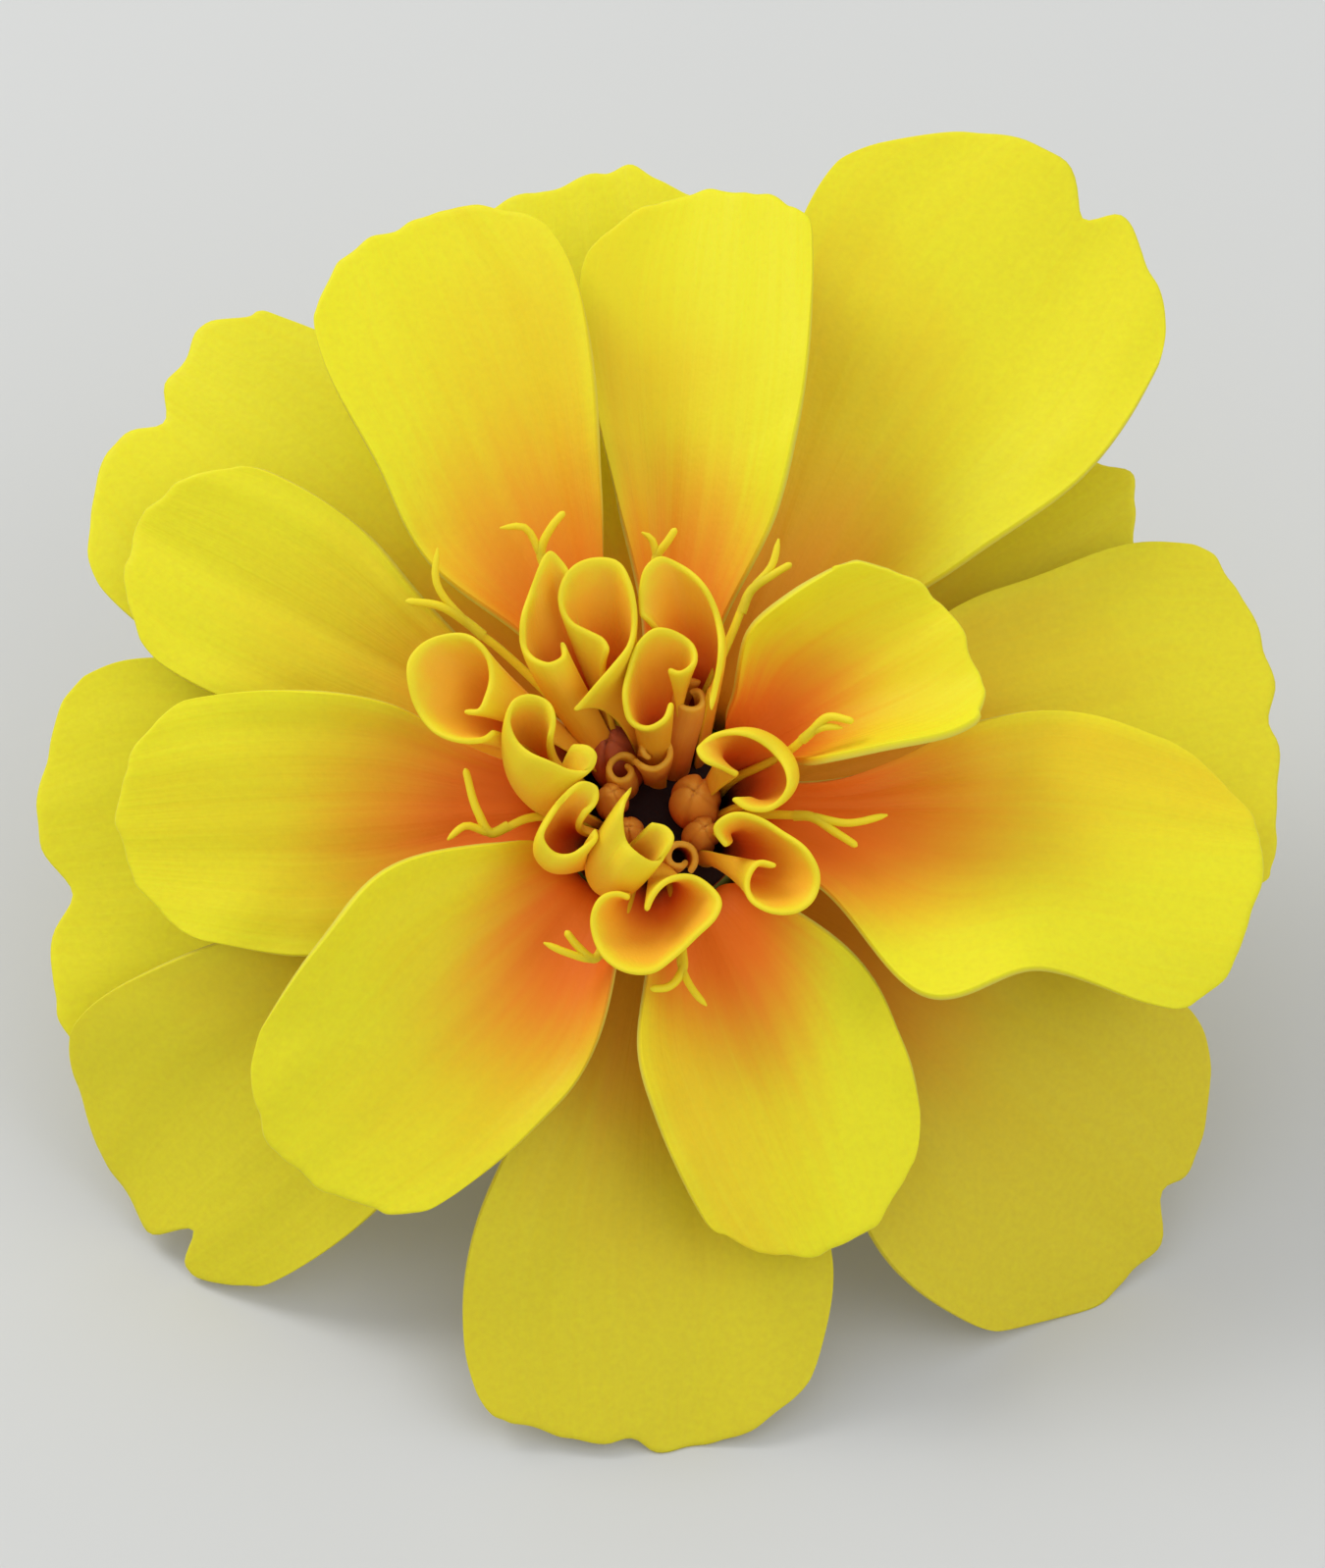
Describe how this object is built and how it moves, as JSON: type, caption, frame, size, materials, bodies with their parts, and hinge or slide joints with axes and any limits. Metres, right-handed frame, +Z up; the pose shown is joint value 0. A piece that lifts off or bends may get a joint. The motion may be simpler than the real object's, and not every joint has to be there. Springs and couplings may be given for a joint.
{
  "type": "flower",
  "caption": "Picked marigold head: broad waved petals in two rings round a disc of rolled florets, in a green cup on a short cut stem; lies on its lower petals and stem.",
  "frame": {"origin": "centre of the part's box in X and Y, on the surface that the flower lies on", "axes": "+Z up from that surface; the face of the head looks up and leans 30 degrees towards -Y; the petal at the top of the picture points to +Y, and the picture's right is +X"},
  "size_m": [0.0594, 0.0552, 0.0363],
  "materials": {
    "petal_yellow": "matte",
    "floret_orange": "matte",
    "bract_green": "satin",
    "stem_green": "satin"
  },
  "bodies": {
    "root": {"ray_petal_01": "petal_yellow", "ray_petal_02": "petal_yellow", "ray_petal_03": "petal_yellow", "ray_petal_04": "petal_yellow", "ray_petal_05": "petal_yellow", "ray_petal_06": "petal_yellow", "ray_petal_07": "petal_yellow", "ray_petal_08": "petal_yellow", "ray_petal_09": "petal_yellow", "ray_petal_10": "petal_yellow", "ray_petal_11": "petal_yellow", "ray_petal_12": "petal_yellow", "ray_petal_13": "petal_yellow", "ray_petal_14": "petal_yellow", "ray_petal_15": "petal_yellow", "ray_petal_16": "petal_yellow", "ray_petal_17": "petal_yellow", "disc_florets": "floret_orange", "involucre": "bract_green", "stem": "stem_green"}
  },
  "joints": []
}
